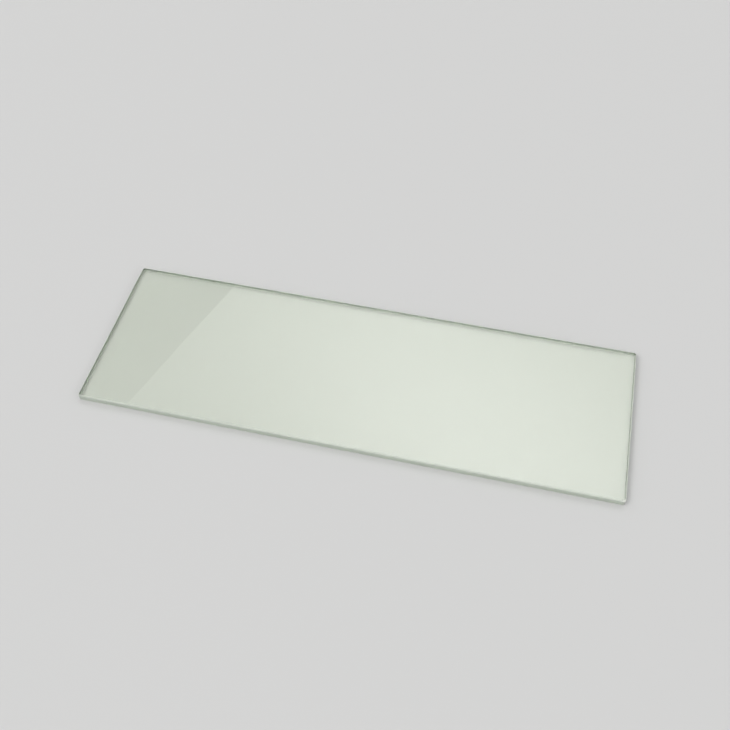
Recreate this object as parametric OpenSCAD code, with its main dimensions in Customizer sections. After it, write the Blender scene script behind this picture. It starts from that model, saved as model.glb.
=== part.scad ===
// Plain microscope slide: one plate of clear soda-lime glass, cut to size,
// with all four edges ground flat and a 45 degree arris ground along each face.
// It lies on a broad face: X runs along its length, Y across its width and
// Z through its thickness. The origin is at the middle of the face it lies on.

/* [Plate] */
// Length of the plate, from end to end
slide_length = 76.2; // [50:0.1:110]
// Width of the plate, between its long edges
slide_width = 25.4; // [15:0.1:80]
// Thickness of the glass
slide_thickness = 1.1; // [0.8:0.05:3]

/* [Ground edges] */
// Width of glass that the arris takes off each face, and off the edge beside it
arris = 0.15; // [0.05:0.01:0.35]
// Radius to which each corner is dubbed, seen from above
corner_radius = 0.4; // [0.4:0.05:5]

/* [Hidden] */
$fn = 64;
glass_colour = [0.80, 0.88, 0.80, 0.55];
// From the middle of the plate to the centre of a corner's round
corner_x = slide_length / 2 - corner_radius;
corner_y = slide_width / 2 - corner_radius;

// Section through the plate from its middle out to a ground edge
function half_section(reach) = [
    [0, 0],
    [reach - arris, 0],
    [reach, arris],
    [reach, slide_thickness - arris],
    [reach - arris, slide_thickness],
    [0, slide_thickness]
];

// Stretch of plate between two opposite ground edges, as long as the straight part of each
module band(across, along) {
    rotate([90, 0, 0])
        linear_extrude(height = along, center = true)
            for (side = [0, 1])
                mirror([side, 0])
                    polygon(half_section(across / 2));
}

// One dubbed corner: the same ground edge, turned about the corner's centre
module dubbed_corner() {
    rotate_extrude()
        polygon(half_section(corner_radius));
}

module slide() {
    color(glass_colour)
        union() {
            band(slide_length, 2 * corner_y);
            rotate(90)
                band(slide_width, 2 * corner_x);
            for (x = [-corner_x, corner_x], y = [-corner_y, corner_y])
                translate([x, y, 0])
                    dubbed_corner();
        }
}

slide();
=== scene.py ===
# A plain microscope slide, lying on a broad face on a pale bench.
import math
import random

import bmesh
import bpy
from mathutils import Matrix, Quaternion, Vector, noise


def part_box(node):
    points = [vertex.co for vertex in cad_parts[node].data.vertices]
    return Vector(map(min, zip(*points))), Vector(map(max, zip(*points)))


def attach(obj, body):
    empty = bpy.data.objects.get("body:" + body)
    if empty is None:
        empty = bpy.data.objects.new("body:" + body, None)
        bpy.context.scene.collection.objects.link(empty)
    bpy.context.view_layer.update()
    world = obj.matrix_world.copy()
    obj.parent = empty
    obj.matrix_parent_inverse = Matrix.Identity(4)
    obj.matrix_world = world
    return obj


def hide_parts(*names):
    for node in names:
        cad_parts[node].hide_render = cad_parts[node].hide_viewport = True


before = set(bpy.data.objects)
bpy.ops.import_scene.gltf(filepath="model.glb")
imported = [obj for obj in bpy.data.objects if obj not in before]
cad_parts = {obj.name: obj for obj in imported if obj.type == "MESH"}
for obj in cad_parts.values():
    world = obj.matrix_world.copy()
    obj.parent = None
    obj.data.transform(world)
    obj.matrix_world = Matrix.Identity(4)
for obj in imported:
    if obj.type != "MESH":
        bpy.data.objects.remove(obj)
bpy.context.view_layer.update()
scene = bpy.context.scene
scene.view_settings.view_transform = "Standard"

# ---------------------------------------------------------------------------
# Glass plate: drawn soda-lime sheet, scored and snapped to size. Its four edges are ground
# flat on a wheel, with an arris along each face, and its corners are dubbed. The grinding
# leaves them satin, with a nick here and there, while the broad faces stay as drawn.
# ---------------------------------------------------------------------------
slide_low, slide_high = (Vector(corner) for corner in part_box("slide"))
slide_centre = (slide_low + slide_high) / 2
slide_length, slide_width, slide_thickness = slide_high - slide_low
corner_radius = 0.0004
arris = 0.00015
point_spacing = 0.0004      # between the points along an edge
rings_inside = 2            # rings of points just inside a broad face's rim
ring_spacing = 0.00009      # between those rings
edge_rows = 5               # rows of points up each ground edge
shortest_edge = 0.0000002   # what is nearer than this is one point

plate = bmesh.new()
bmesh.ops.create_cube(plate, size=1.0)
bmesh.ops.scale(plate, vec=slide_high - slide_low, verts=plate.verts)
bmesh.ops.translate(plate, vec=slide_centre, verts=plate.verts)


def edges_along(axis, shortest):
    """The plate's edges that run along one axis, from a length up"""
    found = []
    for edge in plate.edges:
        run = edge.verts[1].co - edge.verts[0].co
        in_line = run.length < abs(run[axis]) * 1.001
        if in_line and abs(run[axis]) > shortest:
            found.append(edge)
    return found


def broad_faces():
    """The two faces as drawn, inside any rings that are already round them"""
    return [face for face in plate.faces
            if abs(face.normal.z) > 0.9 and face.calc_area() > slide_length * slide_width / 2]


# Dub the corners, then grind the arrises along both faces
bmesh.ops.bevel(plate, geom=edges_along(2, slide_thickness / 2), offset=corner_radius,
                offset_type="OFFSET", segments=8, profile=0.5, affect="EDGES", material=-1)
bmesh.ops.bevel(plate, geom=[edge for face in broad_faces() for edge in face.edges], offset=arris,
                offset_type="OFFSET", segments=1, profile=0.5, affect="EDGES", material=-1)

# Close points all round, for the marks that the wheel and handling leave
for ring in range(rings_inside):
    for face in broad_faces():
        bmesh.ops.inset_region(plate, faces=[face], thickness=ring_spacing, use_even_offset=True)
slopes = [edge for edge in plate.edges
          if arris / 2 < abs(edge.verts[0].co.z - edge.verts[1].co.z) < arris * 2]
bmesh.ops.subdivide_edges(plate, edges=slopes, cuts=1, use_grid_fill=True)
bmesh.ops.subdivide_edges(plate, edges=edges_along(2, slide_thickness / 2), cuts=edge_rows,
                          use_grid_fill=True)
long_runs, short_runs = edges_along(0, slide_length / 2), edges_along(1, slide_width / 2)
bmesh.ops.subdivide_edges(plate, edges=long_runs, cuts=round(slide_length / point_spacing),
                          use_grid_fill=True)
bmesh.ops.subdivide_edges(plate, edges=short_runs, cuts=round(slide_width / point_spacing),
                          use_grid_fill=True)


def inward(x, y):
    """How deep a point lies inside the plate's outline, and the way straight in from the rim by it"""
    past_x, past_y = abs(x) - slide_length / 2 + corner_radius, abs(y) - slide_width / 2 + corner_radius
    if past_x > 0 and past_y > 0:       # in a dubbed corner, whose centre is the way in
        depth, out = corner_radius - math.hypot(past_x, past_y), Vector((past_x, past_y)).normalized()
    elif past_x > past_y:
        depth, out = corner_radius - past_x, Vector((1.0, 0.0))
    else:
        depth, out = corner_radius - past_y, Vector((0.0, 1.0))
    return depth, Vector((math.copysign(out.x, -x), math.copysign(out.y, -y), 0.0))


# The arris wanders a little, as the plate is fed along the wheel
arris_wander = 0.00004              # how far the grinding strays from a straight arris
sways = (180.0, 0.7)                # slow strays: how close together, and their share
chatter = (1900.0, 0.5)             # quick ones
for vert in plate.verts:
    depth, way_in = inward(vert.co.x, vert.co.y)
    above = vert.co.z > slide_thickness / 2
    from_face = slide_thickness - vert.co.z if above else vert.co.z
    if max(depth, from_face) > arris * 1.1:
        continue
    spot = Vector((vert.co.x, vert.co.y, 1.0 if above else 2.0))    # the two rims stray apart
    stray = arris_wander * sum(share * noise.noise(spot * closeness) for closeness, share in (sways, chatter))
    if from_face < arris * 0.1:
        vert.co += way_in * stray
    elif from_face > arris * 0.9:
        vert.co.z += -stray if above else stray

# What the wheel has ground, beside what is as drawn: 0 is as drawn, 1 is ground, 2 is crushed
ground_layer = plate.faces.layers.float.new("ground")
for face in plate.faces:
    level = all(min(abs(vert.co.z), abs(vert.co.z - slide_thickness)) < shortest_edge for vert in face.verts)
    face[ground_layer] = 0.0 if level else 1.0
plate_mesh = bpy.data.meshes.new("glass_plate")
plate.to_mesh(plate_mesh)
plate.free()
glass_plate = bpy.data.objects.new("glass_plate", plate_mesh)
scene.collection.objects.link(glass_plate)

# Shell-shaped nicks along the arrises, and one larger nick at a corner
nick_batches = (    # how many, the range of half their widths, that of their bites, and their fineness
    (26, (0.00005, 0.0001), (0.000012, 0.00003), 3),
    (4, (0.0001, 0.00014), (0.00003, 0.00005), 4))
ripples, ripple_height = 11.0, 0.03     # how close a hollow's rings are, and their height to its bite
blow_point = 0.7                        # how far in from its middle they start, to its half width
unevenness, dents = 0.9, 0.9            # how deep its dents are, to its bite, and how close
nicks = bmesh.new()
nicks_layer = nicks.faces.layers.float.new("ground")


def nick(x, y, above, half_width, bite, stretch=1.0, fineness=3):
    """A rippled hollow, this wide and deep, that bites into the arris nearest to a point"""
    depth, way_in = inward(x, y)
    middle = Vector((x, y, slide_thickness if above else 0.0)) - way_in * (depth - arris / 2)
    middle.z += -arris / 2 if above else arris / 2
    out = (Vector((0.0, 0.0, 1.0 if above else -1.0)) - way_in).normalized()
    radius = (half_width ** 2 + bite ** 2) / (2 * bite)
    centre = middle + out * (radius - bite)
    own_dents = middle * 1000.0         # each nick takes its dents from its own place on the plate
    shell = bmesh.ops.create_icosphere(nicks, subdivisions=fineness, radius=radius)["verts"]
    for vert in shell:
        from_blow = (vert.co + out * radius - way_in * half_width * blow_point).length / half_width
        uneven = unevenness * noise.noise(vert.co / half_width * dents + own_dents)
        vert.co *= 1.0 + bite / radius * (ripple_height * math.sin(ripples * from_blow) + uneven)
    along_y = abs(way_in.x) > abs(way_in.y)
    bmesh.ops.scale(nicks, verts=shell, vec=(1.0, stretch, 1.0) if along_y else (stretch, 1.0, 1.0))
    bmesh.ops.translate(nicks, verts=shell, vec=centre)


random.seed(7)
for count, half_widths, bites, fineness in nick_batches:
    for number in range(count):
        along, edge_side = random.uniform(-0.48, 0.48), random.choice((-1, 1))
        if random.random() < slide_length / (slide_length + slide_width):
            x, y = along * slide_length, edge_side * slide_width / 2
        else:
            x, y = edge_side * slide_length / 2, along * slide_width
        nick(x, y, random.random() < 0.5, random.uniform(*half_widths), random.uniform(*bites),
             random.uniform(1.0, 1.8), fineness)
corner_x, corner_y = slide_length / 2 - corner_radius * 0.3, -slide_width / 2 + corner_radius * 0.3
nick(corner_x, corner_y, True, half_width=0.00038, bite=0.00013, fineness=5)
nick(corner_x - 0.00025, corner_y - 0.0001, True, half_width=0.00021, bite=0.00007, fineness=5)
for face in nicks.faces:
    face[nicks_layer] = 2.0
nicks_mesh = bpy.data.meshes.new("nicks")
nicks.to_mesh(nicks_mesh)
nicks.free()
nicks_object = bpy.data.objects.new("nicks", nicks_mesh)
scene.collection.objects.link(nicks_object)
cut = glass_plate.modifiers.new("nicks", "BOOLEAN")
cut.operation = "DIFFERENCE"
cut.solver = "EXACT"
cut.use_self = True
cut.object = nicks_object
cut_plate = glass_plate.evaluated_get(bpy.context.evaluated_depsgraph_get())
plate = bmesh.new()
plate.from_mesh(cut_plate.to_mesh())
glass_plate.modifiers.clear()
bpy.data.objects.remove(nicks_object)
bmesh.ops.remove_doubles(plate, verts=plate.verts, dist=shortest_edge)
bmesh.ops.dissolve_degenerate(plate, edges=plate.edges, dist=shortest_edge)

# Soft shading over each finish, and crisp where two of them meet or the surface turns sharply
sharp_turn = math.radians(25)
ground_layer = plate.faces.layers.float["ground"]
for face in plate.faces:
    face.smooth = True
for edge in plate.edges:
    sides = [face[ground_layer] for face in edge.link_faces]
    edge.smooth = sides[0] == sides[1] and edge.calc_face_angle() < sharp_turn

# A map that draws the narrow ground edges as wide as the broad faces
map_rows = 5                        # one for each broad face and each long edge, and one for the ends
map_across, map_up = 0.98, 0.9      # how much of the map's width and of a row's height is drawn on


def on_map(spot, drawn, way_in):
    """A point's place on the plate's map"""
    height = spot.z - slide_thickness / 2
    along_x, along_y = spot.x / slide_length, spot.y / slide_width
    up = (height + math.copysign(inward(spot.x, spot.y)[0], height)) / (slide_thickness + 2 * arris)
    if drawn:
        row, across, up = (0, along_x, along_y) if height > 0 else (1, -along_x, along_y)
    elif abs(way_in.y) > abs(way_in.x):
        row, across = (2, along_x) if way_in.y > 0 else (3, -along_x)
    else:
        row, across = 4, along_y / 2 + 0.25 if way_in.x < 0 else -along_y / 2 - 0.25
    return 0.5 + map_across * across, (row + 0.5 + map_up * up) / map_rows


plate_map = plate.loops.layers.uv.new("OFBake")
for face in plate.faces:
    way_in = inward(*face.calc_center_median().xy)[1]
    for corner in face.loops:
        corner[plate_map].uv = on_map(corner.vert.co, face[ground_layer] == 0.0, way_in)
plate.to_mesh(plate_mesh)
plate.free()


class Socket:
    """A socket of a shader's nodes, so that the shader's maths is written as expressions"""

    def __init__(self, tree, socket=None):
        self.tree, self.socket = tree, socket

    def node(self, kind, settings=(), output=0, **inputs):
        """Adds any node: its settings first, then the values or links of its sockets"""
        made = self.tree.nodes.new(kind)
        for name, value in dict(settings).items():
            setattr(made, name, value)
        for name, value in inputs.items():
            number = name.removeprefix("input_")
            target = made.inputs[int(number) if number.isdigit() else name.replace("_", " ")]
            if isinstance(value, Socket):
                self.tree.links.new(value.socket, target)
            else:
                target.default_value = value
        return Socket(self.tree, made.outputs[output] if made.outputs else made)

    def maths(self, operation, first, second):
        """Adds a Math node"""
        return self.node("ShaderNodeMath", dict(operation=operation), input_0=first, input_1=second)

    def __add__(self, other):
        return self.maths("ADD", self, other)

    def __sub__(self, other):
        return self.maths("SUBTRACT", self, other)

    def __rsub__(self, other):
        return self.maths("SUBTRACT", other, self)

    def __mul__(self, other):
        return self.maths("MULTIPLY", self, other)

    __radd__ = __add__
    __rmul__ = __mul__

    def rise(self, low, high):
        """Smooth rise from 0 at low to 1 at high"""
        return self.node("ShaderNodeMapRange", dict(interpolation_type="SMOOTHSTEP"),
                         Value=self, From_Min=low, From_Max=high)


def shader(name):
    """A material with no nodes yet"""
    material = bpy.data.materials.new(name)
    material.use_nodes = True
    material.node_tree.nodes.clear()
    return material, Socket(material.node_tree)


# Clear glass with a faint sage cast, partly frosted where it is ground, by wheel lines and grit
glass_tint = (0.945, 0.967, 0.92, 1.0)
ground_white = (0.80, 0.84, 0.77, 1.0)
crushed_white = (0.82, 0.84, 0.78, 1.0)
deep_green = (0.35, 0.75, 0.20, 1.0)        # what a long way through the glass leaves of white light
line_scale, grit_scale = 900.0, 9000.0      # how fine the wheel lines and the grit are
ream_scale = 90.0                           # how fine the waviness of the drawn faces is
relief_depth = 0.000005

glass, nodes = shader("ground_edge_glass")
on_plate = nodes.node("ShaderNodeTexCoord", output="Object")
ground = nodes.node("ShaderNodeAttribute", dict(attribute_name="ground"), output="Fac")
along_edge = nodes.node("ShaderNodeMapping", Vector=on_plate, Scale=(1.0, 1.0, 30.0))
wheel_lines = nodes.node("ShaderNodeTexNoise", Vector=along_edge, Scale=line_scale,
                         Detail=4.0).rise(0.3, 0.7)
grit = nodes.node("ShaderNodeTexNoise", Vector=on_plate, Scale=grit_scale, Detail=2.0).rise(0.3, 0.7)
roughness = ground * (0.30 + wheel_lines * 0.2)
texture = (wheel_lines * 0.6 + grit * 0.4) * ground
drawn_way = nodes.node("ShaderNodeMapping", Vector=on_plate, Scale=(0.4, 1.0, 1.0))
ream = nodes.node("ShaderNodeTexNoise", Vector=drawn_way, Scale=ream_scale, Detail=1.0)
relief = nodes.node("ShaderNodeBump", Height=texture + ream * 0.7, Distance=relief_depth,
                    Strength=1.0)
clear = nodes.node("ShaderNodeBsdfPrincipled", Base_Color=glass_tint, IOR=1.52,
                   Transmission_Weight=1.0, Roughness=roughness, Normal=relief)
whiteness = nodes.node("ShaderNodeMix", dict(data_type="RGBA"), output=2, input_0=ground - 1.0,
                       input_6=ground_white, input_7=crushed_white)
frost = nodes.node("ShaderNodeBsdfPrincipled", Base_Color=whiteness, Roughness=0.6, Normal=relief)
frosting = ground * (0.32 + wheel_lines * 0.25 + grit * 0.1)
surface = nodes.node("ShaderNodeMixShader", Fac=frosting, input_1=clear, input_2=frost)
volume = nodes.node("ShaderNodeVolumeAbsorption", Color=deep_green, Density=20.0)
nodes.node("ShaderNodeOutputMaterial", Surface=surface, Volume=volume)
plate_mesh.materials.append(glass)
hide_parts("slide")
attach(glass_plate, "root")

# Light bends and bounces many times on its way through the plate to the bench and back
scene.cycles.max_bounces = 24
scene.cycles.transmission_bounces = 24
scene.cycles.glossy_bounces = 16
scene.cycles.diffuse_bounces = 6
scene.cycles.blur_glossy = 0.0      # or the light that reaches the bench through the glass is lost

# ---------------------------------------------------------------------------
# Bench: pale, matt and plain, a hair's breadth under the slide, which keeps its air film.
# Further off it fades into a backdrop of its own colour, so that no horizon shows.
# ---------------------------------------------------------------------------
bench_colour = (0.66, 0.66, 0.655, 1.0)
bench_reach = 20.0
air_film = 0.00003
fade_start, fade_end = 0.05, 0.45       # from the slide's middle

bench = bmesh.new()
bmesh.ops.create_grid(bench, x_segments=1, y_segments=1, size=bench_reach)
bmesh.ops.translate(bench, vec=(0.0, 0.0, -air_film), verts=bench.verts)
bench_mesh = bpy.data.meshes.new("bench")
bench.to_mesh(bench_mesh)
bench.free()
bench_top = bpy.data.objects.new("bench", bench_mesh)
scene.collection.objects.link(bench_top)


def in_view(nodes):
    """1 where the camera sees a thing, also through glass or mirrored in it, and 0 where it only lights"""
    straight, mirrored, through, spread = (
        nodes.node("ShaderNodeLightPath", output=output)
        for output in ("Is Camera Ray", "Is Glossy Ray", "Is Transmission Ray", "Diffuse Depth"))
    return (straight + mirrored + through) * (1.0 - spread.rise(0.0, 1.0))


matt, nodes = shader("pale_bench")
on_bench = nodes.node("ShaderNodeTexCoord", output="Object")
far_off = nodes.node("ShaderNodeVectorMath", dict(operation="LENGTH"), output="Value",
                     input_0=on_bench).rise(fade_start, fade_end)
top = nodes.node("ShaderNodeBsdfPrincipled", Base_Color=bench_colour, Roughness=0.9)
backdrop = nodes.node("ShaderNodeEmission", Color=bench_colour)
surface = nodes.node("ShaderNodeMixShader", Fac=in_view(nodes) * far_off, input_1=top, input_2=backdrop)
nodes.node("ShaderNodeOutputMaterial", Surface=surface)
matt.cycles.emission_sampling = "NONE"
bench_mesh.materials.append(matt)

# ---------------------------------------------------------------------------
# Camera: looks down on the slide from in front, a little to the right of its middle,
# so that its broad face is as foreshortened as it is when the slide stands in a pack.
# ---------------------------------------------------------------------------
camera_azimuth, camera_elevation, camera_distance = 13.0, 52.0, 0.137
view_target = slide_centre + Vector((0.0, 0.002, 0.0))


def direction(azimuth, elevation):
    """Unit vector towards a place in the studio; azimuth 0 is in front, and 90 to the right"""
    turn, rise = math.radians(azimuth), math.radians(elevation)
    return Vector((math.sin(turn) * math.cos(rise), -math.cos(turn) * math.cos(rise), math.sin(rise)))


def place(thing, spot, target, roll=0.0):
    """Puts a camera or a lamp at a spot, pointing at a target, and rolls it about its own axis"""
    scene.collection.objects.link(thing)
    thing.location = spot
    facing = (target - spot).to_track_quat("-Z", "Y")
    thing.rotation_euler = (facing @ Quaternion((0.0, 0.0, 1.0), math.radians(roll))).to_euler()


camera_data = bpy.data.cameras.new("camera")
camera_data.lens = 46.7
camera_data.sensor_width = 36.0
camera_data.clip_start = 0.005
camera_data.clip_end = 50.0
camera = bpy.data.objects.new("camera", camera_data)
place(camera, view_target + direction(camera_azimuth, camera_elevation) * camera_distance, view_target)
scene.camera = camera

# ---------------------------------------------------------------------------
# Studio lights: softboxes round the slide, each brightest in its middle. The key lamp lights
# the bench, the side lamp the ground edges, and the others mirror in the broad face, each
# seen from across it. White walls fill the shadows; the camera sees the backdrop in their place.
# ---------------------------------------------------------------------------
fill_strength = 0.49


def softbox(name, azimuth, elevation, distance, across, down, brightness, roll=0.0):
    """A rectangular lamp that faces the slide; a brightness of 1 is a white face"""
    lamp_data = bpy.data.lights.new(name, "AREA")
    lamp_data.shape = "RECTANGLE"
    lamp_data.size, lamp_data.size_y = across, down
    lamp_data.energy = brightness * math.pi * across * down
    lamp_data.use_nodes = True
    lamp_data.node_tree.nodes.clear()
    nodes = Socket(lamp_data.node_tree)
    over_face = nodes.node("ShaderNodeNewGeometry", output="Parametric")
    from_middle = nodes.node("ShaderNodeVectorMath", dict(operation="DISTANCE"), output="Value",
                             input_0=over_face, input_1=(0.5, 0.5, 0.0))
    strength = 1.3 - from_middle.rise(0.0, 0.7)     # down to 0.3 in the corners
    light = nodes.node("ShaderNodeEmission", Strength=strength)
    nodes.node("ShaderNodeOutputLight", Surface=light)
    lamp = bpy.data.objects.new(name, lamp_data)
    lamp.visible_camera = False
    place(lamp, slide_centre + direction(azimuth, elevation) * distance, slide_centre, roll)


softbox("key_lamp", azimuth=-50.0, elevation=48.0, distance=3.0, across=2.0, down=2.0, brightness=4.0)
softbox("back_lamp", azimuth=178.0, elevation=58.0, distance=2.2, across=1.6, down=1.0, brightness=1.7,
        roll=-30.0)
softbox("side_lamp", azimuth=65.0, elevation=35.0, distance=1.6, across=0.3, down=0.3, brightness=9.0)
softbox("top_lamp", azimuth=100.0, elevation=80.0, distance=2.5, across=0.9, down=0.5, brightness=1.3,
        roll=20.0)
for number, (azimuth, roll) in enumerate(((-5.0, 25.0), (125.0, 25.0), (-137.0, -25.0)), start=1):
    softbox(f"panel_{number}", azimuth, elevation=32.0, distance=2.2, across=1.3, down=0.5,
            brightness=1.1, roll=roll)

world = bpy.data.worlds.new("studio")
scene.world = world
world.use_nodes = True
world.node_tree.nodes.clear()
nodes = Socket(world.node_tree)
fill_light = nodes.node("ShaderNodeBackground", Color=(1.0, 1.0, 1.0, 1.0), Strength=fill_strength)
backdrop = nodes.node("ShaderNodeBackground", Color=bench_colour, Strength=1.0)
surroundings = nodes.node("ShaderNodeMixShader", Fac=in_view(nodes), input_1=fill_light, input_2=backdrop)
nodes.node("ShaderNodeOutputWorld", Surface=surroundings)
